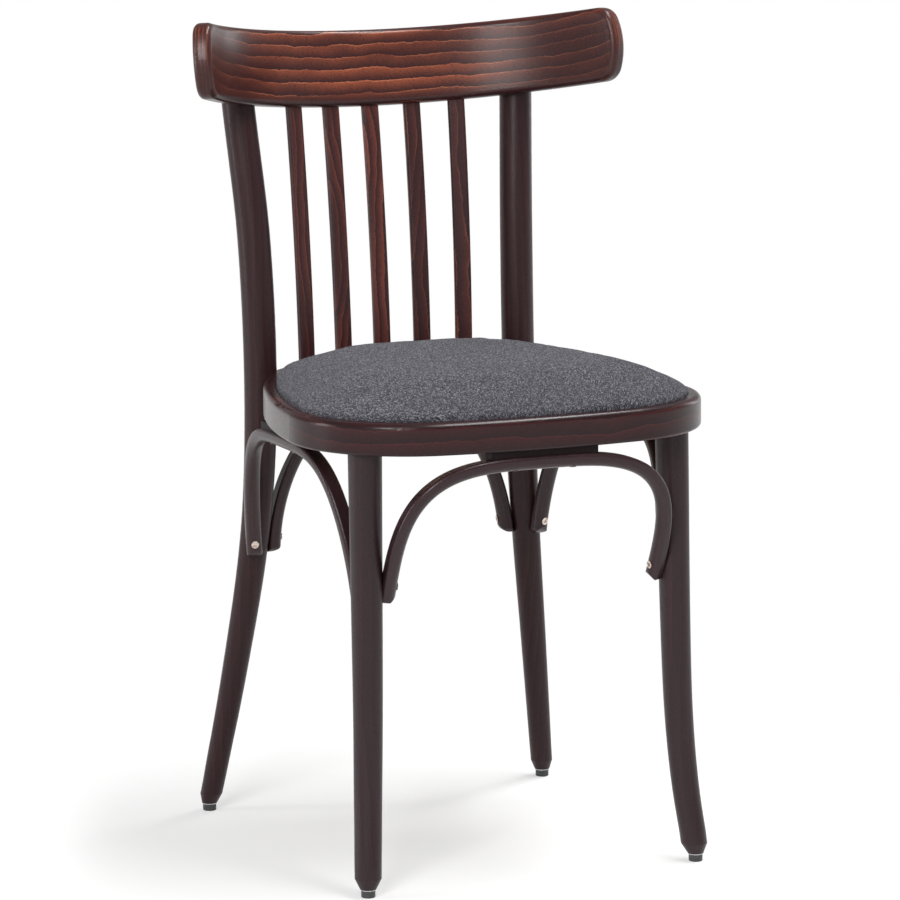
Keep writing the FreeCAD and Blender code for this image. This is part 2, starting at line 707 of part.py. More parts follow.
for name, brace in braces.items():
    arch = brace.trimmed().cut(sticks)
    arch = max(arch.Solids, key=lambda s: s.Volume)
    spacer = brace.spacer().cut(arch)
    spacer = max(spacer.Solids, key=lambda s: s.Volume)
    made = [[], [], [], []]
    for end in (0, 1):
        share = brace.share_at(brace.feet[end] + brace_screw_rise, end)
        point, run, across, normal = brace.frame(share)
        head = point - normal * brace_thickness
        made[0].append(screw(brace_screw_length, head, normal))
        made[1].append(screw_hole(brace_screw_length, head, normal))
    for k in (-1, 1):
        share = 0.5 + k * top_screw_spacing / 2.0 / brace.lengths[-1]
        point, run, across, normal = brace.frame(share)
        head = V(point.x, point.y, point.z - brace_crown_thickness)
        made[2].append(screw(top_screw_length, head, V(0, 0, 1)))
        made[3].append(screw_hole(top_screw_length, head, V(0, 0, 1)))
    brace_solids[name] = arch.cut(made[1] + made[3])
    spacer_solids[name] = spacer.cut(made[3])
    if name == "left":
        brace_solids["right"] = mirrored(brace_solids[name])
        spacer_solids["right"] = mirrored(spacer_solids[name])
        made = [shapes + [mirrored(s) for s in shapes] for shapes in made]
    end_screws += made[0]
    end_holes += made[1]
    top_screws += made[2]
    top_holes += made[3]
seat_ring = seat_ring.cut(top_holes)

# Rail screws from behind, two in each post
rail_screws = []
rail_holes = []
for k in range(2):
    rise = rail_screw_rise + k * rail_screw_gap * 0.6
    aim = rail_point(post_rail_x, 0.0, rise)
    inward = V(-post_rail_x, -math.sqrt(rail_radius ** 2 - post_rail_x ** 2), 0)
    inward = inward * (1.0 / inward.Length)
    axis_here = post_axis(aim.z)
    head = V(axis_here.x, axis_here.y, aim.z) - inward * post_radius(aim.z)
    for shape, made in ((screw(rail_screw_length, head, inward), rail_screws),
                        (screw_hole(rail_screw_length, head, inward), rail_holes)):
        made += [shape, mirrored(shape)]

# Glides under the four feet
nail_radius = glide_nail_diameter / 2.0
glides = {}
washers = []
nails = []
nail_holes = []
for name, axis in (("front_right", flip(leg_axis)), ("front_left", leg_axis), ("rear_right", flip(post_axis)),
                   ("rear_left", post_axis)):
    foot = axis(leg_bottom)
    nail_length = glide_nail_length
    base = V(foot.x, foot.y, 0)
    disc = Part.makeCylinder(glide_diameter / 2.0, glide_height, base)
    disc = disc.makeFillet(glide_rounding, edges_at(disc, 0.0))
    nail = Part.makeCylinder(nail_radius, nail_length, base + V(0, 0, glide_height / 2.0))
    ring = Part.makeCylinder(glide_washer_diameter / 2.0, glide_washer_thickness, base + V(0, 0, glide_height))
    glides[name] = disc.cut(nail)
    washers.append(ring.cut(nail))
    nails.append(nail)

leg = leg.cut(nails)
post = post.cut(nails)
legs = {"left": leg, "right": mirrored(leg)}
posts = {"left": post, "right": mirrored(post)}
for side in ("left", "right"):
    legs[side] = legs[side].cut(end_holes + nails)
    posts[side] = posts[side].cut(end_holes + rail_holes + nails)
crest_rail = crest_rail.cut(rail_holes)

# Pad: board, foam and cover are nested crowned forms
pad_centre_y = (ring_front_y + pad_front_rim + ring_back_y - pad_back_gap) / 2.0
pad_edge = ring_top + pad_edge_height


def pad_form(inset, base, drop):
    """Crowned pad body: an upright edge, then a dome through scaled outlines."""
    wires = []
    shares = [1.0, 0.99, 0.965, 0.92, 0.85, 0.75, 0.62, 0.48, 0.34, 0.2, 0.08]
    for share in shares:
        height = pad_crown * (1.0 - share ** pad_crown_power) ** (1.0 / pad_shoulder_power)
        wires.append(pad_outline.wire(inset, pad_edge + height - drop, share, pad_centre_y))
    dome = Part.makeLoft(wires, True, False)
    return pad_outline.slab(inset, base, pad_edge - drop).fuse(dome).removeSplitter()


board_low = recess_floor + cover_thickness
board_high = board_low + pad_board_thickness
cover_body = pad_form(0.0, recess_floor, 0.0)
filling = pad_form(cover_thickness, board_low, cover_thickness)
pad_board = pad_outline.slab(cover_thickness, board_low, board_high)
pad_foam = filling.cut(pad_outline.slab(-cover_thickness, board_low - 1.0, board_high))
turned_hole = pad_outline.slab(cover_turn_in, recess_floor - 1.0, board_low)
pad_cover = cover_body.cut(filling).cut(turned_hole)

pad_screws = []
pad_holes = []
for x, y in ((leg_top_x * 0.5, ring_front_y + ring_width * 0.62), (slat_pitch_bottom * 1.5, ring_back_y - ring_width)):
    head = V(x, y, ring_bottom)
    for side in (1, -1):
        at = V(side * head.x, head.y, head.z)
        pad_screws.append(screw(pad_screw_length, at, V(0, 0, 1)))
        pad_holes.append(screw_hole(pad_screw_length, at, V(0, 0, 1)))
seat_ring = seat_ring.cut(pad_holes)
pad_cover = pad_cover.cut(pad_holes)
pad_board = pad_board.cut(pad_holes)

# Staples along the turned-in cloth, in the open middle of the ring
staples = []
track = pad_outline.wire(staple_inset, recess_floor)
for point in track.discretize(Number=staple_count + 1)[:-1]:
    towards = V(point.x, point.y - pad_centre_y, 0)
    angle = math.degrees(math.atan2(towards.y, towards.x)) + 90
    crown = Part.makeBox(staple_length, staple_wire, staple_wire, V(-staple_length / 2.0, -staple_wire / 2.0,
                                                                      -staple_wire))
    crown.Placement = FreeCAD.Placement(V(point.x, point.y, recess_floor), FreeCAD.Rotation(V(0, 0, 1), angle))
    staples.append(crown)

save("crest_rail", crest_rail)
for side in ("left", "right"):
    save("back_post_" + side, posts[side])
    save("front_leg_" + side, legs[side])
for i, slat in enumerate(slats):
    save("back_slat_%d" % (i + 1), slat)
save("seat_ring", seat_ring)
for name in ("front", "rear", "left", "right"):
    save("brace_" + name, brace_solids[name])
    save("brace_spacer_" + name, spacer_solids[name])
save("pad_board", pad_board)
save("pad_foam", pad_foam)
save("pad_cover", pad_cover)
save("pad_staples", staples)
save("pad_screws", pad_screws)
save("brace_end_screws", end_screws)
save("brace_top_screws", top_screws)
save("rail_screws", rail_screws)
save("post_bolts", [bolt, mirrored(bolt)])
save("post_bolt_washers", [washer, mirrored(washer)])
save("post_inserts", [insert, mirrored(insert)])
for name, glide in glides.items():
    save("glide_" + name, glide)
save("glide_washers", washers)
save("glide_nails", nails)
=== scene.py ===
import math

import bmesh
import bpy
import numpy as np
from mathutils import Matrix, Vector


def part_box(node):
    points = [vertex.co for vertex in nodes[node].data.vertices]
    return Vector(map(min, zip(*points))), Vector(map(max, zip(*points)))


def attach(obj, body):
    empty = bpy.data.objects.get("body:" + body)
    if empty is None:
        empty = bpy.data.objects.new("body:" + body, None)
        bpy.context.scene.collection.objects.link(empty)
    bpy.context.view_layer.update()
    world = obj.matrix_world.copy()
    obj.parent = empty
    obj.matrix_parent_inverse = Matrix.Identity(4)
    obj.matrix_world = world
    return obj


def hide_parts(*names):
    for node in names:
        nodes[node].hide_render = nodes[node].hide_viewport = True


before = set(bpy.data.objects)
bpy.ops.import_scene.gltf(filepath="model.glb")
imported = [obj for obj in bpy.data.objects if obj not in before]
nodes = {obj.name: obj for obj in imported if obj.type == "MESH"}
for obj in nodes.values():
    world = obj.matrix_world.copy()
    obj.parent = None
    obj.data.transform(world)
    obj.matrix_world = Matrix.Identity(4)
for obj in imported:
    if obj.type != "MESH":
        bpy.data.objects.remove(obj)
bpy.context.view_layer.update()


# Seat ring: one stick of beech steamed and bent to a closed seat outline, its ends scarfed together
# at the back, stained dark and lacquered satin. It carries everything else.
# Its grain runs round the ring, so colour lines lie level along the front and sides.
ring_low, ring_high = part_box("seat_ring")
ring_middle_y = (ring_low.y + ring_high.y) / 2.0
ring_grain_radius = 0.2

# Grain of beech. A stretch is in repeats per metre: across the growth lines, into the wood and along it.
# Waves and teeth of a line are measured in jags.
slow_bend_stretch = (7.0, 7.0, 4.2)
wave_stretch, wave_height = (30.0, 30.0, 26.0), 2.6
tooth_stretch, tooth_height = (60.0, 60.0, 300.0), 0.75
cloud_stretch = (22.0, 22.0, 9.0)
fleck_stretch = (1300.0, 1300.0, 300.0)
ray_stretch = (1500.0, 1500.0, 520.0)
rim_patch_stretch = (60.0, 60.0, 28.0)
rim_start, rim_full = 0.88, 0.97
band_falloff, faintest_line = 1.35, 0.6

# Stain and satin lacquer, the same on every wooden piece.
least_warmth = 0.35
fleck_darkness, fleck_roughening = 0.45, 0.1
ray_share, ray_lightness, ray_lift = 0.12, 1.6, 0.004
smoother_by, rougher_by = 0.03, 0.04
lacquer_roughness = 0.24
pore_depth, pore_strength = 0.0002, 0.22


def add_node(tree, kind, inputs=None, **settings):
    """Add a shader node. inputs maps a socket's name or number to a value or to another node's socket."""
    made = tree.nodes.new("ShaderNode" + kind)
    for name, value in settings.items():
        setattr(made, name, value)
    for socket, value in (inputs or {}).items():
        if isinstance(value, bpy.types.NodeSocket):
            tree.links.new(value, made.inputs[socket])
        else:
            made.inputs[socket].default_value = value
    return made


def calculate(tree, operation, first, second=None, clamp=False):
    """Output socket of one Math node."""
    inputs = {0: first}
    if second is not None:
        inputs[1] = second
    return add_node(tree, "Math", inputs, operation=operation, use_clamp=clamp).outputs[0]


def distance(tree, first, second):
    """How far off a point is whose way along two level directions is given."""
    squares = [calculate(tree, "MULTIPLY", value, value) for value in (first, second)]
    return calculate(tree, "SQRT", calculate(tree, "ADD", *squares))


def stretched(tree, place, repeats):
    """The place scaled differently along each of its three directions."""
    return add_node(tree, "VectorMath", {0: place, 1: repeats}, operation="MULTIPLY").outputs[0]


def noise(tree, place, detail=1.0, roughness=0.5):
    return add_node(tree, "TexNoise", {"Vector": place, "Scale": 1.0, "Detail": detail,
                                       "Roughness": roughness}).outputs["Fac"]


def swing(tree, value, reach):
    """A 0 to 1 value turned into a shift of plus or minus reach."""
    centred = calculate(tree, "SUBTRACT", value, 0.5)
    return calculate(tree, "MULTIPLY", calculate(tree, "MULTIPLY", centred, 2.0), reach)


def remap(tree, value, low, high, out_low=0.0, out_high=1.0):
    return add_node(tree, "MapRange", {"Value": value, "From Min": low, "From Max": high, "To Min": out_low,
                                       "To Max": out_high}, interpolation_type="SMOOTHSTEP").outputs["Result"]


def blend_colour(tree, share, first, second):
    """Colour that goes from the first to the second one with the share. Each is a socket or red, green and blue."""
    made = add_node(tree, "Mix", data_type="RGBA")
    sockets = {socket.identifier: socket for socket in made.inputs}
    tree.links.new(share, sockets["Factor_Float"])
    for name, colour in (("A_Color", first), ("B_Color", second)):
        if isinstance(colour, bpy.types.NodeSocket):
            tree.links.new(colour, sockets[name])
        else:
            sockets[name].default_value = (*colour, 1.0)
    return next(socket for socket in made.outputs if socket.identifier == "Result_Color")


def start_group(name, inputs, outputs):
    """Node group with named float or vector inputs and float outputs, and its two end nodes."""
    tree = bpy.data.node_groups.new(name, "ShaderNodeTree")
    for socket, kind, value in inputs:
        made = tree.interface.new_socket(socket, in_out="INPUT", socket_type=kind)
        if value is not None:
            made.default_value = value
    for socket in outputs:
        tree.interface.new_socket(socket, in_out="OUTPUT", socket_type="NodeSocketFloat")
    return tree, tree.nodes.new("NodeGroupInput"), tree.nodes.new("NodeGroupOutput")


def start_material(name):
    """New material, with its node tree and its Principled shader."""
    material = bpy.data.materials.new(name)
    material.use_nodes = True
    return material, material.node_tree, material.node_tree.nodes["Principled BSDF"]


def raise_surface(tree, shader, height, strength, depth):
    """Bump the surface by a height of the given depth in metres."""
    bump = add_node(tree, "Bump", {"Strength": strength, "Distance": depth, "Height": height})
    tree.links.new(bump.outputs["Normal"], shader.inputs["Normal"])


def beech_grain_group():
    """Growth lines of beech: bands that darken away from each line, a bright rim on it, fine flecks and slow clouds.

    Place is in metres: X across the lines, Y into the wood and Z along the grain."""
    tree, given, result = start_group(
        "Beech Grain",
        [("Place", "NodeSocketVector", None), ("Line Spacing", "NodeSocketFloat", 0.012),
         ("Wander", "NodeSocketFloat", 0.01), ("Jag", "NodeSocketFloat", 0.0012)],
        ["Bands", "Rim", "Flecks", "Rays", "Cloud"])
    place = given.outputs["Place"]
    slow = swing(tree, noise(tree, stretched(tree, place, slow_bend_stretch), 1.5), given.outputs["Wander"])
    waves = swing(tree, noise(tree, stretched(tree, place, wave_stretch), 2.0), given.outputs["Jag"])
    teeth = swing(tree, noise(tree, stretched(tree, place, tooth_stretch), 2.0, 0.65), given.outputs["Jag"])
    line = calculate(tree, "ADD", add_node(tree, "SeparateXYZ", {0: place}).outputs["X"], slow)
    line = calculate(tree, "ADD", line, calculate(tree, "MULTIPLY", waves, wave_height))
    line = calculate(tree, "ADD", line, calculate(tree, "MULTIPLY", teeth, tooth_height))
    line = calculate(tree, "DIVIDE", line, given.outputs["Line Spacing"])
    rise = calculate(tree, "FRACT", line)
    strength = add_node(tree, "TexWhiteNoise", {"W": calculate(tree, "FLOOR", line)}, noise_dimensions="1D")
    strength = remap(tree, strength.outputs["Value"], 0.0, 1.0, faintest_line, 1.0)
    bands = calculate(tree, "POWER", rise, band_falloff)
    rim = remap(tree, rise, rim_start, rim_full)
    patchy = remap(tree, noise(tree, stretched(tree, place, rim_patch_stretch), 2.0), 0.3, 0.65)
    rim = calculate(tree, "MULTIPLY", calculate(tree, "MULTIPLY", rim, patchy), strength)
    flecks = remap(tree, noise(tree, stretched(tree, place, fleck_stretch), 1.0), 0.50, 0.70)
    rays = remap(tree, noise(tree, stretched(tree, place, ray_stretch), 1.0), 0.56, 0.78)
    cloud = noise(tree, stretched(tree, place, cloud_stretch), 2.0)
    for name, value in (("Bands", calculate(tree, "MULTIPLY", bands, strength)), ("Rim", rim), ("Flecks", flecks),
                        ("Rays", rays), ("Cloud", cloud)):
        tree.links.new(value, result.inputs[name])
    return tree


beech_grain = beech_grain_group()


def object_place(tree):
    """Place in the chair's own metres: every piece's mesh stands in that frame."""
    return add_node(tree, "TexCoord").outputs["Object"]


def ring_place(tree):
    """Grain place on the bent ring: lines are spaced in height and run round the ring."""
    parts = add_node(tree, "SeparateXYZ", {0: object_place(tree)})
    back = calculate(tree, "SUBTRACT", parts.outputs["Y"], ring_middle_y)
    turn = calculate(tree, "ARCTAN2", parts.outputs["X"], calculate(tree, "MULTIPLY", back, -1.0))
    return add_node(tree, "CombineXYZ", {0: parts.outputs["Z"], 1: distance(tree, back, parts.outputs["X"]),
                                         2: calculate(tree, "MULTIPLY", turn, ring_grain_radius)}).outputs[0]


def stained_beech(name, place_of, deep, warm, rim, line_spacing, wander, jag, roughness, shine, coat, warmth=1.0,
                  rim_share=0.5, fleck_share=0.4, warmth_and_shade_of=None):
    """Stained and lacquered beech: a deep colour, a warmer one along the growth lines and a rim on each line.

    warmth_and_shade_of gives a 0 to 1 mask that holds the warmer colours back where the piece is darker, on the rail
    partly as painted shade."""
    material, tree, shader = start_material(name)
    grain = add_node(tree, "Group", node_tree=beech_grain)
    tree.links.new(place_of(tree), grain.inputs["Place"])
    grain.inputs["Line Spacing"].default_value = line_spacing
    grain.inputs["Wander"].default_value = wander
    grain.inputs["Jag"].default_value = jag
    cloudy = remap(tree, grain.outputs["Cloud"], 0.25, 0.7, least_warmth * warmth, warmth)
    share = calculate(tree, "MULTIPLY", grain.outputs["Bands"], cloudy, clamp=True)
    edge = calculate(tree, "MULTIPLY", grain.outputs["Rim"], rim_share)
    if warmth_and_shade_of is not None:
        warm_share_kept = warmth_and_shade_of(tree)
        share, edge = calculate(tree, "MULTIPLY", share, warm_share_kept), calculate(tree, "MULTIPLY", edge, warm_share_kept)
    colour = blend_colour(tree, share, deep, warm)
    colour = blend_colour(tree, edge, colour, rim)
    colour = blend_colour(tree, calculate(tree, "MULTIPLY", grain.outputs["Flecks"], fleck_share), colour,
                          [c * fleck_darkness for c in deep])
    colour = blend_colour(tree, calculate(tree, "MULTIPLY", grain.outputs["Rays"], ray_share), colour,
                          [c * ray_lightness + ray_lift for c in warm])
    tree.links.new(colour, shader.inputs["Base Color"])
    uneven = calculate(tree, "ADD", calculate(tree, "MULTIPLY", grain.outputs["Flecks"], fleck_roughening),
                       remap(tree, grain.outputs["Cloud"], 0.3, 0.7, roughness - smoother_by,
                             roughness + rougher_by))
    tree.links.new(uneven, shader.inputs["Roughness"])
    shader.inputs["Specular IOR Level"].default_value = shine
    shader.inputs["Coat Weight"].default_value = coat
    shader.inputs["Coat Roughness"].default_value = lacquer_roughness
    height = calculate(tree, "SUBTRACT", calculate(tree, "MULTIPLY", grain.outputs["Rays"], 0.5),
                       grain.outputs["Flecks"])
    raise_surface(tree, shader, height, pore_strength, pore_depth)
    return material


def finish_node(name, material):
    """Give a carried-over solid its material."""
    piece = nodes[name]
    piece.data.materials.clear()
    piece.data.materials.append(material)


ring_beech = stained_beech("Ring beech", ring_place, deep=(0.019, 0.0060, 0.0075), warm=(0.078, 0.014, 0.014),
                           rim=(0.170, 0.030, 0.022), line_spacing=0.0155, wander=0.020, jag=0.0022, warmth=0.8,
                           rim_share=0.35, roughness=0.27, shine=0.14, coat=0.35)
finish_node("seat_ring", ring_beech)


# Front legs: two turned beech sticks, a little thinner and splayed at the foot, glued into the ring
# with a round tenon. The stain is nearly black-brown, so the grain only shows as faint upright streaks.
frame_beech = stained_beech("Frame beech", object_place, deep=(0.026, 0.0125, 0.0155),
                            warm=(0.048, 0.020, 0.022), rim=(0.075, 0.030, 0.027), line_spacing=0.0085,
                            wander=0.009, jag=0.0008, warmth=0.7, rim_share=0.2, roughness=0.38, shine=0.3, coat=0.08)
for side in ("left", "right"):
    finish_node("front_leg_" + side, frame_beech)


# Back posts: each one steam-bent stick of beech from the floor to the crest rail, lapped and bolted
# to the ring, the rail let into its top. A touch redder than the legs where the light falls on them.
post_beech = stained_beech("Post beech", object_place, deep=(0.025, 0.0095, 0.0115),
                           warm=(0.056, 0.019, 0.019), rim=(0.085, 0.032, 0.026), line_spacing=0.0075,
                           wander=0.009, jag=0.0008, warmth=0.75, rim_share=0.22, roughness=0.36, shine=0.22,
                           coat=0.06)
for side in ("left", "right"):
    finish_node("back_post_" + side, post_beech)


# Crest rail: a bent beech board, screwed to the posts from behind, with rounded arrises and bulged ends.
# Its growth lines run sideways about a finger apart, orange-brown under each line and dark above the next.
# The board leans back from its lower front edge, with its faces bent to arcs and its ends bulged.
rail_front_y, rail_bottom_z = 0.2002, 0.7125
rail_lean = math.radians(9.5)
rail_front_radius = 0.2485
rail_half_length = 0.2511
rail_half_height, rail_middle_height = 0.0374, 0.0438
rail_end_bulge = 0.0101
rail_end_face = rail_half_length + rail_end_bulge

# Growth lines, then how much warm colour shows: less towards both ends, darkened by painted shade
# along the lower edge, and on the sawn ends more towards the top.
rail_line_rise, rail_line_rise_power = 0.009, 6.0
rail_line_shift = 0.0101
end_grain_crowding = 3.4
sawn_start, sawn_full = 0.0055, 0.0015
rail_warm_until, rail_dark_from, rail_dark_warmth = 0.105, 0.195, 0.30
# Painted shade along the lower edge: darkest at the first height, gone at the second, with the warmth left there.
lower_shade_darkest, lower_shade_ends, lower_shade_warmth = 0.002, 0.015, 0.25
end_colour_depth = 0.0035
end_warm_reach, end_low_warmth, end_high_warmth = 0.012, 0.12, 0.75


def unrolled_rail(tree):
    """Where a point lies on the bent board laid flat: height over its lower edge, depth, and way along it."""
    upright = add_node(tree, "VectorRotate", {"Vector": object_place(tree),
                                              "Center": (0.0, rail_front_y, rail_bottom_z), "Angle": rail_lean},
                       rotation_type="X_AXIS").outputs[0]
    parts = add_node(tree, "SeparateXYZ", {0: upright})
    back = calculate(tree, "ADD", parts.outputs["Y"], rail_front_radius - rail_front_y)
    turn = calculate(tree, "ARCTAN2", parts.outputs["X"], back)
    return (calculate(tree, "SUBTRACT", parts.outputs["Z"], rail_bottom_z),
            distance(tree, back, parts.outputs["X"]), calculate(tree, "MULTIPLY", turn, rail_front_radius))


def rail_end_reach(tree, height, along):
    """Way out to the bulged sawn ends: it is the same all over each end."""
    off_middle = calculate(tree, "SUBTRACT", height, rail_middle_height)
    bulge_lost = calculate(tree, "MULTIPLY", calculate(tree, "MULTIPLY", off_middle, off_middle),
                           rail_end_bulge / rail_half_height ** 2)
    return calculate(tree, "ADD", calculate(tree, "ABSOLUTE", along), bulge_lost)


def rail_place(tree):
    """Grain place on the board: lines are spaced in height and sweep up towards its ends.

    On the two sawn ends the lines run up and down, so there the depth takes the place of the height."""
    height, depth, along = unrolled_rail(tree)
    sweep = calculate(tree, "POWER", calculate(tree, "ABSOLUTE", along), rail_line_rise_power)
    sweep = calculate(tree, "MULTIPLY", sweep, rail_line_rise / rail_half_length ** rail_line_rise_power)
    lines = calculate(tree, "ADD", calculate(tree, "SUBTRACT", height, sweep), rail_line_shift)
    level = add_node(tree, "CombineXYZ", {0: lines, 1: depth, 2: along}).outputs[0]
    upright = add_node(tree, "CombineXYZ", {0: calculate(tree, "MULTIPLY", depth, end_grain_crowding), 1: along,
                                            2: height}).outputs[0]
    sawn = remap(tree, rail_end_reach(tree, height, along), rail_end_face - sawn_start, rail_end_face - sawn_full)
    return add_node(tree, "Mix", {"Factor": sawn, 4: level, 5: upright}, data_type="VECTOR").outputs[1]


def rail_warmth_and_shade(tree):
    """Less warm colour towards both ends, painted shade darkening the lower edge where the light from above does not
    reach, and warm again on the upper part of the ends.
    """
    height, _, along = unrolled_rail(tree)
    middle = remap(tree, calculate(tree, "ABSOLUTE", along), rail_warm_until, rail_dark_from, 1.0, rail_dark_warmth)
    # Painted shade: the lower edge is darkened where the light from above does not reach.
    lower = remap(tree, height, lower_shade_darkest, lower_shade_ends, lower_shade_warmth, 1.0)
    face = calculate(tree, "MULTIPLY", middle, lower)
    sawn = remap(tree, rail_end_reach(tree, height, along), rail_end_face - end_colour_depth, rail_end_face)
    end = remap(tree, height, rail_middle_height - end_warm_reach, rail_middle_height + end_warm_reach,
                end_low_warmth, end_high_warmth)
    return add_node(tree, "Mix", {"Factor": sawn, "A": face, "B": end}, data_type="FLOAT").outputs[0]


rail_beech = stained_beech("Rail beech", rail_place, deep=(0.031, 0.0075, 0.0085), warm=(0.325, 0.080, 0.038),
                           rim=(0.560, 0.190, 0.095), line_spacing=0.0118, wander=0.0085, jag=0.0017,
                           rim_share=0.7, roughness=0.33, shine=0.2, coat=0.35, fleck_share=0.6,
                           warmth_and_shade_of=rail_warmth_and_shade)
finish_node("crest_rail", rail_beech)


# Back slats: five flat beech staves with rounded arrises, tenoned into the ring and the rail.
# They are plain-sawn, so flame figures of warmer stain run up their faces.
slat_leans = (-0.010, 0.006, 0.030, -0.022, 0.014)
slat_warmths = (1.0, 0.9, 1.4, 0.6, 0.7)
slat_cut_apart = 0.37


def slat_place(lean, shift):
    """Grain place of one stave: its lines drift across it as they rise, by its own lean."""
    def place(tree):
        parts = add_node(tree, "SeparateXYZ", {0: object_place(tree)})
        drift = calculate(tree, "MULTIPLY", parts.outputs["Z"], lean)
        across = calculate(tree, "ADD", calculate(tree, "ADD", parts.outputs["X"], drift), shift)
        return add_node(tree, "CombineXYZ", {0: across, 1: parts.outputs["Y"], 2: parts.outputs["Z"]}).outputs[0]
    return place


for number, (lean, warmth) in enumerate(zip(slat_leans, slat_warmths), start=1):
    slat_beech = stained_beech("Slat %d beech" % number, slat_place(lean, number * slat_cut_apart),
                               deep=(0.029, 0.0095, 0.0115), warm=(0.165, 0.043, 0.030), rim=(0.270, 0.088, 0.048),
                               line_spacing=0.0095, wander=0.030, jag=0.0016, warmth=warmth, rim_share=0.45,
                               roughness=0.4, shine=0.24, coat=0.05)
    finish_node("back_slat_%d" % number, slat_beech)


# Arched braces: round beech sticks with one flat side, bent to arches under the ring and screwed to the
# legs and, through a packing block, to the ring. Their grain follows the arch. The blocks are coloured near
# black as painted shade, for the shadow they sit in under the ring.
arch_middle_z = 0.29
arch_grain_radius = 0.13


def arch_place(level, through):
    """Grain place on an arch that stands along the level direction, its width along the other one."""
    def place(tree):
        parts = add_node(tree, "SeparateXYZ", {0: object_place(tree)})
        rise = calculate(tree, "SUBTRACT", parts.outputs["Z"], arch_middle_z)
        turn = calculate(tree, "ARCTAN2", rise, parts.outputs[level])
        return add_node(tree, "CombineXYZ", {
            0: distance(tree, rise, parts.outputs[level]), 1: parts.outputs[through],
            2: calculate(tree, "MULTIPLY", turn, arch_grain_radius)}).outputs[0]
    return place


# Painted shade: the packing blocks are coloured near black for the shadow under the ring.
packing_block_shade = stained_beech("Packing block painted shade", object_place, deep=(0.009, 0.0045, 0.0055),
                              warm=(0.017, 0.0075, 0.0080), rim=(0.026, 0.011, 0.010), line_spacing=0.006,
                              wander=0.008, jag=0.0008, roughness=0.5, shine=0.15, coat=0.0)
for name, level, through, places in (("Cross arch beech", "X", "Y", ("front", "rear")),
                                     ("Side arch beech", "Y", "X", ("left", "right"))):
    arch_beech = stained_beech(name, arch_place(level, through), deep=(0.030, 0.0135, 0.0165),
                               warm=(0.060, 0.022, 0.024), rim=(0.080, 0.031, 0.027), line_spacing=0.006,
                               wander=0.012, jag=0.0008, warmth=0.7, rim_share=0.22, roughness=0.34, shine=0.2,
                               coat=0.32)
    for place in places:
        finish_node("brace_" + place, arch_beech)
        finish_node("brace_spacer_" + place, packing_block_shade)


# Pad board: birch plywood whose cut edge shows its plies as pale and dark stripes. It lies in the recess
# of the ring and is held there by four screws through the ring's front and rear.
ply_thickness = 0.0018
plywood_line_spacing, plywood_wander = 0.03, 0.05
plywood_deep, plywood_pale = (0.52, 0.36, 0.21), (0.64, 0.48, 0.31)
plywood_fleck, plywood_fleck_share = (0.34, 0.21, 0.11), 0.3
crossed_ply = (0.33, 0.21, 0.12)
plywood_smoothest, plywood_roughest = 0.55, 0.7


def plywood_material():
    """Growth lines on the board's flat faces, and a stripe for every other ply on its cut edge."""
    material, tree, shader = start_material("Birch plywood")
    place = object_place(tree)
    height = add_node(tree, "SeparateXYZ", {0: place}).outputs["Z"]
    ply = calculate(tree, "FRACT", calculate(tree, "DIVIDE", height, 2.0 * ply_thickness))
    grain = add_node(tree, "Group", node_tree=beech_grain)
    turned = add_node(tree, "VectorRotate", {"Vector": place, "Angle": math.radians(90)}, rotation_type="X_AXIS")
    tree.links.new(turned.outputs[0], grain.inputs["Place"])
    grain.inputs["Line Spacing"].default_value = plywood_line_spacing
    grain.inputs["Wander"].default_value = plywood_wander
    face = blend_colour(tree, grain.outputs["Bands"], plywood_deep, plywood_pale)
    face = blend_colour(tree, calculate(tree, "MULTIPLY", grain.outputs["Flecks"], plywood_fleck_share), face,
                        plywood_fleck)
    plies = blend_colour(tree, remap(tree, ply, 0.42, 0.58), face, crossed_ply)
    normal = add_node(tree, "SeparateXYZ", {0: add_node(tree, "NewGeometry").outputs["Normal"]})
    flat = remap(tree, calculate(tree, "ABSOLUTE", normal.outputs["Z"]), 0.5, 0.8)
    tree.links.new(blend_colour(tree, flat, plies, face), shader.inputs["Base Color"])
    tree.links.new(remap(tree, grain.outputs["Cloud"], 0.2, 0.8, plywood_smoothest, plywood_roughest),
                   shader.inputs["Roughness"])
    raise_surface(tree, shader, grain.outputs["Flecks"], strength=0.3, depth=0.0002)
    return material


finish_node("pad_board", plywood_material())


# Seat pad: foam on the board under a tight cover of speckled charcoal wool cloth, crowned in the middle
# and pulled down round the board's edge. The cloth is twill with a thread every 0.8 mm.
# Plan of the pad, its levels, and the levels' and crown's rings as shares of the way out to its edge.
pad_front_y, pad_back_y, pad_half_width = -0.2178, 0.1707, 0.195
pad_front_radius, pad_corner_radius, pad_side_radius = 0.777, 0.109, 0.637
pad_rear_radius, pad_back_radius = 0.066, 0.470
pad_side_turn = math.radians(5.0)
pad_middle_y = (pad_front_y + pad_back_y) / 2.0
pad_base_z, pad_edge_z, pad_top_z = 0.4482, 0.4575, 0.4915
pad_crown = 0.0268
pad_fullness, pad_shoulder = 4.0, 1.85
pad_arris = 0.0012
underside_shares = (0.05, 0.5, 0.9, 0.985)
crown_shares = (1.0, 0.996, 0.985, 0.965, 0.94, 0.9, 0.85, 0.78, 0.7, 0.6, 0.5, 0.4, 0.3, 0.2, 0.1, 0.04)

# Twill. A thread wanders by uneven_reach threads. Specks and slubs have so many cells per thread along the
# warp and along the weft.
thread_pitch = 0.0008
wrap_width = 0.1
uneven_stretch, uneven_reach = (160.0, 160.0, 160.0), 0.5
speckle_cells = (0.8, 0.5)
slub_cells = (0.9, 0.14)
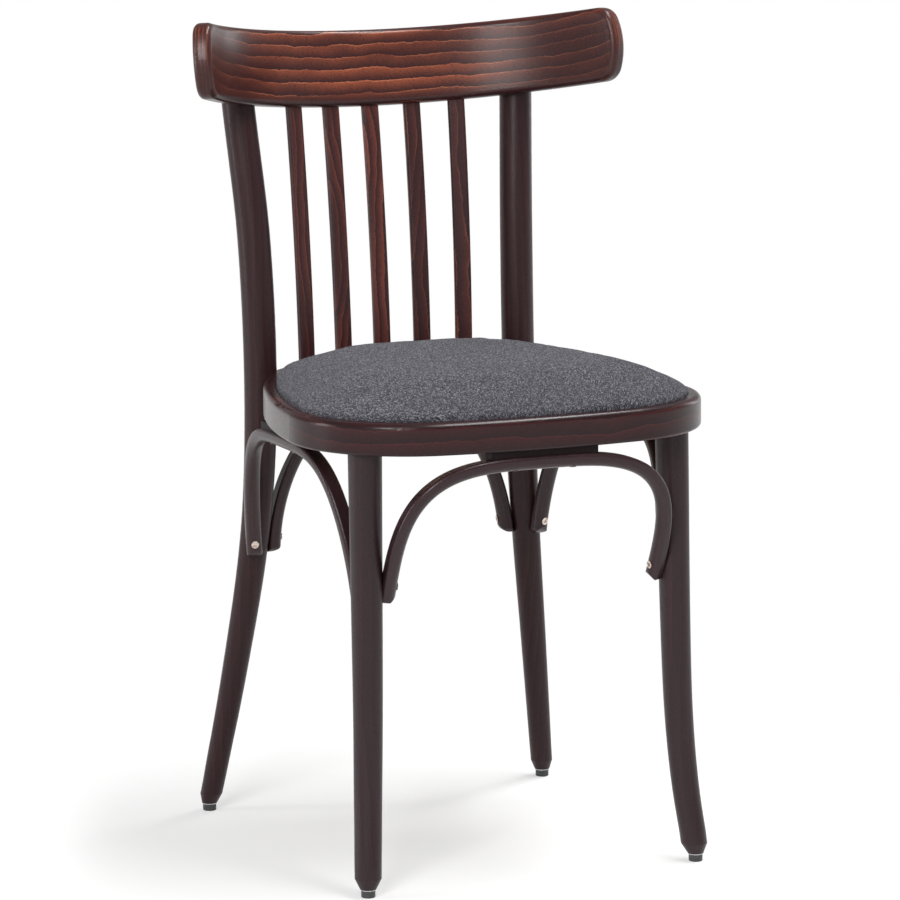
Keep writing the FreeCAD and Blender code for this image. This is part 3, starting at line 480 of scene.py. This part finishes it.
# The rib's hollow and the gaps between threads get dark colours as painted shade; the thread's own colour is on its
# crown.
rib_hollow_shade, crown_thread = (0.006, 0.006, 0.010), (0.186, 0.183, 0.226)
pale_speck, pale_speck_share = (0.50, 0.495, 0.56), 0.85
dark_speck, dark_speck_share = (0.009, 0.009, 0.012), 0.9
thread_gap_shade, thread_gap_shade_share = (0.012, 0.012, 0.016), 0.5
dark_slub, dark_slub_share = (0.014, 0.014, 0.019), 0.42
gap_roughness, crown_roughness = 0.95, 0.8
rib_height, weave_depth, weave_strength = 0.3, 0.0005, 0.9

# Settling of the cover as cloth over the foam: the cover is held at its edge and swells by the cap at most.
voxel_size = 0.005
held_height = 0.004
settling_frames = 20
cover_pressure, cover_tension, cover_bending = 4.0, 30.0, 0.4
cover_swell_cap = 0.0035
pulled_height, pulled_width = 0.001, 0.94


def twill_weave_group():
    """Twill cloth: thread crowns as height, the diagonal rib, and a random tone for each crossing.

    Place is in metres from the pad's top centre; the cloth wraps down the pad's sides, so both thread
    directions count the drop below the top as more way out from the middle."""
    tree, given, result = start_group(
        "Twill Weave", [("Place", "NodeSocketVector", None), ("Thread Pitch", "NodeSocketFloat", 0.001)],
        ["Crowns", "Rib", "Speckle", "Slub"])
    parts = add_node(tree, "SeparateXYZ", {0: given.outputs["Place"]})

    def thread_count(side):
        outward = remap(tree, parts.outputs[side], -wrap_width, wrap_width, -1.0, 1.0)
        drop = calculate(tree, "MULTIPLY", outward, parts.outputs["Z"])
        return calculate(tree, "DIVIDE", calculate(tree, "SUBTRACT", parts.outputs[side], drop),
                         given.outputs["Thread Pitch"])

    def crown(thread):
        return calculate(tree, "ABSOLUTE", calculate(tree, "SINE", calculate(tree, "MULTIPLY", thread, math.pi)))

    uneven = noise(tree, stretched(tree, given.outputs["Place"], uneven_stretch), 1.0)
    warp = calculate(tree, "ADD", thread_count("X"), swing(tree, uneven, uneven_reach))
    weft = thread_count("Y")
    step = calculate(tree, "ADD", calculate(tree, "FLOOR", warp), calculate(tree, "FLOOR", weft))
    rib = calculate(tree, "SINE", calculate(tree, "MULTIPLY", step, math.pi / 2.0))
    cell = [calculate(tree, "FLOOR", calculate(tree, "MULTIPLY", thread, cells))
            for thread, cells in zip((warp, weft), speckle_cells)]
    speckle = add_node(tree, "TexWhiteNoise", {
        "Vector": add_node(tree, "CombineXYZ", dict(enumerate(cell))).outputs[0]}, noise_dimensions="3D")
    stretch = [calculate(tree, "MULTIPLY", thread, cells) for thread, cells in zip((warp, weft), slub_cells)]
    slub = noise(tree, add_node(tree, "CombineXYZ", dict(enumerate(stretch))).outputs[0], 1.0)
    for name, value in (("Crowns", calculate(tree, "MULTIPLY", crown(warp), crown(weft))),
                        ("Rib", remap(tree, rib, -0.6, 0.6)), ("Speckle", speckle.outputs["Value"]),
                        ("Slub", slub)):
        tree.links.new(value, result.inputs[name])
    return tree


twill_weave = twill_weave_group()


def wool_cloth():
    """Charcoal wool: painted shade in each rib's hollow going to the pale thread on its crown, single pale and dark
    specks, painted shade in the gaps between threads, and dark slubs.
    """
    material, tree, shader = start_material("Charcoal wool twill")
    weave = add_node(tree, "Group", node_tree=twill_weave)
    from_top = add_node(tree, "VectorMath", {0: object_place(tree), 1: (0.0, pad_middle_y, pad_top_z)},
                        operation="SUBTRACT").outputs[0]
    tree.links.new(from_top, weave.inputs["Place"])
    weave.inputs["Thread Pitch"].default_value = thread_pitch
    # Painted shade darkens the hollow of each rib and, below, the gaps between thread crowns; specks and slubs are the
    # wool's own.
    colour = blend_colour(tree, weave.outputs["Rib"], rib_hollow_shade, crown_thread)
    for mask, start, full, share, tone in (("Speckle", 0.6, 1.0, pale_speck_share, pale_speck),
                                           ("Speckle", 0.45, 0.0, dark_speck_share, dark_speck),
                                           ("Crowns", 0.4, 0.0, thread_gap_shade_share, thread_gap_shade),
                                           ("Slub", 0.4, 0.6, dark_slub_share, dark_slub)):
        colour = blend_colour(tree, remap(tree, weave.outputs[mask], start, full, 0.0, share), colour, tone)
    tree.links.new(colour, shader.inputs["Base Color"])
    tree.links.new(remap(tree, weave.outputs["Crowns"], 0.0, 1.0, gap_roughness, crown_roughness),
                   shader.inputs["Roughness"])
    shader.inputs["Sheen Weight"].default_value = 0.12
    shader.inputs["Sheen Roughness"].default_value = 0.5
    shader.inputs["Specular IOR Level"].default_value = 0.25
    ribs = calculate(tree, "MULTIPLY", weave.outputs["Rib"], rib_height)
    raise_surface(tree, shader, calculate(tree, "ADD", weave.outputs["Crowns"], ribs), weave_strength, weave_depth)
    return material


charcoal_wool = wool_cloth()


def pad_outline(count, arc_points=60):
    """Middle of the pad and its plan outline about it, at even angles: five arcs a side that run into each other."""
    front_middle = np.array([0.0, pad_front_y + pad_front_radius])
    corner_x = pad_half_width - pad_corner_radius
    corner_middle = np.array([corner_x, front_middle[1] - math.sqrt(
        (pad_front_radius - pad_corner_radius) ** 2 - corner_x ** 2)])
    side_way = np.array([math.cos(pad_side_turn), math.sin(pad_side_turn)])
    side_middle = corner_middle - side_way * (pad_side_radius - pad_corner_radius)
    back_middle = np.array([0.0, pad_back_y - pad_back_radius])
    side_reach, back_reach = pad_side_radius - pad_rear_radius, pad_back_radius - pad_rear_radius
    apart = back_middle - side_middle
    gap = np.linalg.norm(apart)
    along = (side_reach ** 2 - back_reach ** 2 + gap ** 2) / (2.0 * gap)
    off = math.sqrt(side_reach ** 2 - along ** 2)
    across = np.array([-apart[1], apart[0]]) / gap
    rear_middle = max((side_middle + apart / gap * along + across * off * way for way in (1.0, -1.0)),
                      key=lambda point: point[1])
    arc_middles = (front_middle, corner_middle, side_middle, rear_middle, back_middle)
    radii = (pad_front_radius, pad_corner_radius, pad_side_radius, pad_rear_radius, pad_back_radius)
    ways = (corner_middle - front_middle, side_way, rear_middle - side_middle, rear_middle - back_middle)
    turns = [-math.pi / 2.0, *(math.atan2(way[1], way[0]) for way in ways), math.pi / 2.0]
    arcs = []
    for arc_middle, radius, start, end in zip(arc_middles, radii, turns, turns[1:]):
        sweep = np.linspace(start, end, arc_points)
        arcs.append(arc_middle + radius * np.stack([np.cos(sweep), np.sin(sweep)], 1))
    right = np.vstack(arcs)
    middle = np.array([0.0, pad_middle_y])
    offsets = np.vstack([right, right * (-1.0, 1.0)]) - middle
    angle = np.arctan2(offsets[:, 1], offsets[:, 0])
    order = np.argsort(angle)
    wanted = np.linspace(-math.pi, math.pi, count, endpoint=False)
    reach = np.interp(wanted, angle[order], np.hypot(offsets[:, 0], offsets[:, 1])[order], period=2.0 * math.pi)
    return middle, np.stack([np.cos(wanted) * reach, np.sin(wanted) * reach], 1)


def put_in_scene(name, data):
    """New object of that name which carries the data, linked to the scene."""
    made = bpy.data.objects.new(name, data)
    bpy.context.scene.collection.objects.link(made)
    return made


def rings_to_mesh(name, rings, close_top=None, close_bottom=None):
    """Mesh of quads between rings of points, with an optional point that closes each end."""
    shell = bmesh.new()
    made = [[shell.verts.new(p) for p in ring] for ring in rings]
    for low, high in zip(made, made[1:]):
        for k in range(len(low)):
            n = (k + 1) % len(low)
            shell.faces.new((low[k], low[n], high[n], high[k]))
    for ring, point, top in ((made[-1], close_top, True), (made[0], close_bottom, False)):
        if point is not None:
            tip = shell.verts.new(point)
            for k in range(len(ring)):
                n = (k + 1) % len(ring)
                shell.faces.new((ring[k], ring[n], tip) if top else (ring[n], ring[k], tip))
    mesh = bpy.data.meshes.new(name)
    shell.normal_update()
    shell.to_mesh(mesh)
    shell.free()
    for face in mesh.polygons:
        face.use_smooth = True
    return put_in_scene(name, mesh)


def crowned_pad(name, count=180):
    """Closed cushion: a short upright edge, a full shoulder and a crown that flattens towards the middle."""
    middle, edge = pad_outline(count)
    levels = [(share, pad_base_z) for share in underside_shares]
    levels += [(1.0, pad_base_z + pad_arris), (1.0, (pad_base_z + pad_edge_z) / 2.0)]
    levels += [(share, pad_edge_z + pad_crown * (1.0 - share ** pad_fullness) ** (1.0 / pad_shoulder))
               for share in crown_shares]
    rings = [[(*(middle + p * share), z) for p in edge] for share, z in levels]
    return rings_to_mesh(name, rings, close_top=(*middle, pad_edge_z + pad_crown), close_bottom=(*middle, pad_base_z))


def pulled_to_board(points, count=720):
    """The lowest part of the cover, stretched out flat against the board's upright edge."""
    middle, outline = pad_outline(count)
    reach = np.hypot(outline[:, 0], outline[:, 1])
    offsets = points[:, :2] - middle
    span = np.hypot(offsets[:, 0], offsets[:, 1])
    angles = np.arctan2(offsets[:, 1], offsets[:, 0])
    edge = np.interp(angles, np.linspace(-math.pi, math.pi, count + 1), np.append(reach, reach[0]))
    low = (points[:, 2] < pad_edge_z + pulled_height) & (span > pulled_width * edge)
    pulled = points.copy()
    pulled[low, :2] = middle + offsets[low] * (edge[low] / span[low])[:, None]
    return pulled


def evaluated_mesh(piece):
    """Mesh of the piece with its modifiers applied."""
    return bpy.data.meshes.new_from_object(piece.evaluated_get(bpy.context.evaluated_depsgraph_get()))


def swell(piece):
    """Let the cover settle over the foam as blown-up cloth, held still round the board's edge."""
    draft = put_in_scene(piece.name + "_draft", piece.data.copy())
    remesh = draft.modifiers.new("even", "REMESH")
    remesh.mode = "VOXEL"
    remesh.voxel_size = voxel_size
    bpy.context.view_layer.update()
    even = evaluated_mesh(draft)
    bpy.data.objects.remove(draft)
    cloth_piece = put_in_scene(piece.name + "_cloth", even)
    start = np.array([v.co for v in even.vertices])
    held = cloth_piece.vertex_groups.new(name="held")
    for k, point in enumerate(start):
        share = min(max((pad_edge_z + held_height - point[2]) / held_height, 0.0), 1.0)
        if share > 0.0:
            held.add([k], share, "REPLACE")
    cloth = cloth_piece.modifiers.new("cover", "CLOTH").settings
    cloth.use_pressure = True
    cloth.uniform_pressure_force = cover_pressure
    cloth.effector_weights.gravity = 0.0
    cloth.vertex_group_mass = "held"
    cloth.tension_stiffness = cover_tension
    cloth.bending_stiffness = cover_bending
    for frame_number in range(1, settling_frames + 1):
        bpy.context.scene.frame_set(frame_number)
    settled = evaluated_mesh(cloth_piece)
    moved = np.array([v.co for v in settled.vertices]) - start
    length = np.linalg.norm(moved, axis=1)
    cap = np.minimum(length, cover_swell_cap) / np.maximum(length, 1e-9)
    for vertex, point in zip(even.vertices, pulled_to_board(start + moved * cap[:, None])):
        vertex.co = point
    cloth_piece.modifiers.clear()
    bpy.context.scene.frame_set(1)
    bpy.data.meshes.remove(settled)
    even.name = piece.data.name
    old = piece.data
    piece.data = even
    bpy.data.objects.remove(cloth_piece)
    bpy.data.meshes.remove(old)
    for face in piece.data.polygons:
        face.use_smooth = True


seat_pad = crowned_pad("seat_pad")
swell(seat_pad)
finer = seat_pad.modifiers.new("finer", "SUBSURF")
finer.levels = finer.render_levels = 1
seat_pad.data.materials.clear()
seat_pad.data.materials.append(charcoal_wool)
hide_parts("pad_foam", "pad_cover")
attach(seat_pad, "root")


# Hem: the cover's edge, wrapped round the board, turned in under it and stapled flat. The cloth that is
# too long there lies in small even pleats.
hem_reach = 0.038
hem_inset = 0.0003
hem_low_z, hem_high_z = 0.4462, 0.4472
pleat_count, pleat_height = 46.0, 0.0007
hem_section = ((0.0, pad_base_z + 0.001, 0.0), (0.0, hem_high_z - 0.0004, 0.0), (0.05, hem_low_z, 0.0),
               (0.4, hem_low_z, 0.2), (0.75, hem_low_z, 0.35), (1.0, hem_low_z, 0.4), (1.0, hem_high_z, 0.0),
               (0.75, hem_high_z, 0.0), (0.4, hem_high_z, 0.0))


def turned_in_hem(name, count=360):
    """Strip under the board. Each point of its section is a share of its reach, a height and a pleat's fold there."""
    middle, outline = pad_outline(count)
    span = np.hypot(outline[:, 0], outline[:, 1])
    pleat = 0.5 + 0.5 * np.sin(np.arctan2(outline[:, 1], outline[:, 0]) * pleat_count)
    rings = []
    for share, z, fold in hem_section:
        inward = (span - hem_inset - hem_reach * share) / span
        rings.append([(*(middle + p * k), z + fold * pleat_height * w) for p, k, w in zip(outline, inward, pleat)])
    return rings_to_mesh(name, rings)


hem = turned_in_hem("pad_hem")
hem.data.materials.append(charcoal_wool)
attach(hem, "root")


# Screws, bolts, washers, staples and nails: small steel pieces plated with nickel or zinc, and the turned
# brass inserts that the bolts are screwed into. All are faintly rubbed, with dull or warm spots of tarnish.
tarnish_stretch = (420.0, 420.0, 420.0)
rubbed_stretch = (5200.0, 900.0, 5200.0)
polished_by, scratched_by = 0.06, 0.1


def plated_metal(name, bright, tarnish, tarnish_share, roughness):
    material, tree, shader = start_material(name)
    place = object_place(tree)
    spots = remap(tree, noise(tree, stretched(tree, place, tarnish_stretch), 3.0), 0.35, 0.75, 0.0, tarnish_share)
    rubbed = noise(tree, stretched(tree, place, rubbed_stretch), 1.0)
    tree.links.new(blend_colour(tree, spots, bright, tarnish), shader.inputs["Base Color"])
    tree.links.new(remap(tree, rubbed, 0.2, 0.8, roughness - polished_by, roughness + scratched_by),
                   shader.inputs["Roughness"])
    shader.inputs["Metallic"].default_value = 1.0
    raise_surface(tree, shader, rubbed, strength=0.15, depth=0.0001)
    return material


nickel = plated_metal("Nickel plate", bright=(0.78, 0.70, 0.64), tarnish=(0.42, 0.22, 0.14), tarnish_share=0.7,
                      roughness=0.32)
zinc = plated_metal("Zinc plate", bright=(0.60, 0.61, 0.63), tarnish=(0.38, 0.37, 0.34), tarnish_share=0.5,
                    roughness=0.38)
brass = plated_metal("Turned brass", bright=(0.72, 0.52, 0.22), tarnish=(0.40, 0.24, 0.10), tarnish_share=0.4,
                     roughness=0.35)
for name in ("brace_end_screws", "brace_top_screws", "rail_screws"):
    finish_node(name, nickel)
for name in ("pad_staples", "pad_screws", "post_bolts", "post_bolt_washers", "glide_washers", "glide_nails"):
    finish_node(name, zinc)
finish_node("post_inserts", brass)


# Glides: small discs moulded of dark grey nylon, finely pebbled and slightly scuffed. Each is nailed up
# into the end of a leg or post, with a thin steel washer between the two.
pebble_stretch = (2600.0, 2600.0, 2600.0)
scuff_stretch = (300.0, 300.0, 900.0)
nylon_grey, scuffed_grey, scuff_share = (0.045, 0.047, 0.049), (0.14, 0.14, 0.14), 0.5
nylon_roughness, scuffed_roughness = 0.45, 0.65


def moulded_nylon():
    material, tree, shader = start_material("Moulded nylon")
    place = object_place(tree)
    pebble = noise(tree, stretched(tree, place, pebble_stretch), 2.0)
    scuff = remap(tree, noise(tree, stretched(tree, place, scuff_stretch), 3.0), 0.5, 0.75)
    colour = blend_colour(tree, calculate(tree, "MULTIPLY", scuff, scuff_share), nylon_grey, scuffed_grey)
    tree.links.new(colour, shader.inputs["Base Color"])
    tree.links.new(remap(tree, scuff, 0.0, 1.0, nylon_roughness, scuffed_roughness), shader.inputs["Roughness"])
    raise_surface(tree, shader, pebble, strength=0.2, depth=0.0001)
    return material


nylon = moulded_nylon()
for foot in ("front_left", "front_right", "rear_left", "rear_right"):
    finish_node("glide_" + foot, nylon)


# Studio: a wide pale floor under soft lamps, white where the camera looks past the chair.
# The floor's own light is only for the camera, so that it stays white around the chair's shadow, and the
# floor is open when looked through from below, so that the chair's underside can be seen.
half_floor = 7.0
floor_paint, floor_glow = (0.62, 0.62, 0.62, 1.0), 0.42
shadow_reach, white_reach = 0.35, 0.95
white = (1.0, 1.0, 1.0, 1.0)
room_light = 0.3
low_wall_top = 0.2
chair_middle = Vector((0.0, 0.0, 0.45))

floor_mesh = bpy.data.meshes.new("floor")
floor_mesh.from_pydata([(-half_floor, -half_floor, 0.0), (half_floor, -half_floor, 0.0),
                        (half_floor, half_floor, 0.0), (-half_floor, half_floor, 0.0)], [], [(0, 1, 2, 3)])
floor = put_in_scene("floor", floor_mesh)


def studio_floor():
    """Painted floor that glows for the camera, pure white far from the chair and open from below."""
    material = bpy.data.materials.new("Studio floor")
    material.use_nodes = True
    tree = material.node_tree
    tree.nodes.clear()
    paint = add_node(tree, "BsdfDiffuse", {"Color": floor_paint})
    glow = add_node(tree, "Emission", {"Color": white, "Strength": floor_glow})
    lit = add_node(tree, "AddShader", {0: paint.outputs[0], 1: glow.outputs[0]})
    pure_white = add_node(tree, "Emission", {"Color": white, "Strength": 1.0})
    parts = add_node(tree, "SeparateXYZ", {0: object_place(tree)})
    away = remap(tree, distance(tree, parts.outputs["X"], parts.outputs["Y"]), shadow_reach, white_reach)
    seen = add_node(tree, "MixShader", {0: away, 1: lit.outputs[0], 2: pure_white.outputs[0]})
    ray = add_node(tree, "LightPath")
    direct = calculate(tree, "MAXIMUM", ray.outputs["Is Camera Ray"], ray.outputs["Is Glossy Ray"])
    direct = calculate(tree, "MAXIMUM", direct, ray.outputs["Is Transmission Ray"])
    above = add_node(tree, "MixShader", {0: direct, 1: paint.outputs[0], 2: seen.outputs[0]})
    end = add_node(tree, "MixShader", {0: add_node(tree, "NewGeometry").outputs["Backfacing"], 1: above.outputs[0],
                                       2: add_node(tree, "BsdfTransparent").outputs[0]})
    tree.links.new(end.outputs[0], add_node(tree, "OutputMaterial").inputs["Surface"])
    return material


floor_mesh.materials.append(studio_floor())

# The room lights the chair evenly. It is a white backdrop for the camera and low in mirrored surfaces.
world = bpy.data.worlds.new("Studio")
bpy.context.scene.world = world
world.use_nodes = True
sky = world.node_tree
sky.nodes.clear()
room = add_node(sky, "Background", {"Color": white, "Strength": room_light})
backdrop = add_node(sky, "Background", {"Color": white, "Strength": 1.0})
sky_ray = add_node(sky, "LightPath")
sky_height = add_node(sky, "SeparateXYZ", {0: add_node(sky, "TexCoord").outputs["Generated"]}).outputs["Z"]
mirrored = calculate(sky, "MAXIMUM", sky_ray.outputs["Is Glossy Ray"], sky_ray.outputs["Is Transmission Ray"])
mirrored = calculate(sky, "MULTIPLY", mirrored, remap(sky, sky_height, low_wall_top, 0.0))
sky_seen = calculate(sky, "MAXIMUM", sky_ray.outputs["Is Camera Ray"], mirrored)
sky_end = add_node(sky, "MixShader", {0: sky_seen, 1: room.outputs[0], 2: backdrop.outputs[0]})
sky.links.new(sky_end.outputs[0], add_node(sky, "OutputWorld").inputs["Surface"])

for name, place, width, height, watts in (("front_window", (-2.0, -2.3, 2.2), 1.2, 1.5, 60.0),
                                          ("overhead", (0.9, -0.45, 3.0), 2.6, 0.45, 72.0),
                                          ("right_fill", (2.9, 1.2, 1.2), 0.6, 1.4, 8.0),
                                          ("left_fill", (-2.9, 0.9, 1.0), 0.6, 1.4, 22.0)):
    light = bpy.data.lights.new(name, "AREA")
    light.shape = "RECTANGLE"
    light.size, light.size_y = width, height
    light.energy = watts
    lamp = put_in_scene(name, light)
    lamp.location = place
    lamp.rotation_euler = (chair_middle - Vector(place)).to_track_quat("-Z", "Y").to_euler()


# Camera: stands nearly 5 m away in front of the chair, towards the sitter's right and above the crest
# rail's height. It looks slightly down through a long lens, as the photograph does.
camera_place = Vector((-1.877913, -4.438286, 1.174843))
camera_azimuth = math.radians(22.9043)
camera_elevation = math.radians(9.2625)
camera_roll = math.radians(-0.40576)
look = Vector((math.sin(camera_azimuth) * math.cos(camera_elevation),
               math.cos(camera_azimuth) * math.cos(camera_elevation), -math.sin(camera_elevation)))
level_right = Vector((math.cos(camera_azimuth), -math.sin(camera_azimuth), 0.0))
level_up = level_right.cross(look)
picture_right = level_right * math.cos(camera_roll) + level_up * math.sin(camera_roll)
picture_up = level_up * math.cos(camera_roll) - level_right * math.sin(camera_roll)
camera_data = bpy.data.cameras.new("camera")
camera_data.sensor_width = 36.0
camera_data.lens = 198.375
camera_data.clip_end = 60.0
camera = put_in_scene("camera", camera_data)
camera.matrix_world = (Matrix.Translation(camera_place)
                       @ Matrix((picture_right, picture_up, -look)).transposed().to_4x4())
bpy.context.scene.camera = camera
bpy.context.scene.view_settings.view_transform = "Standard"
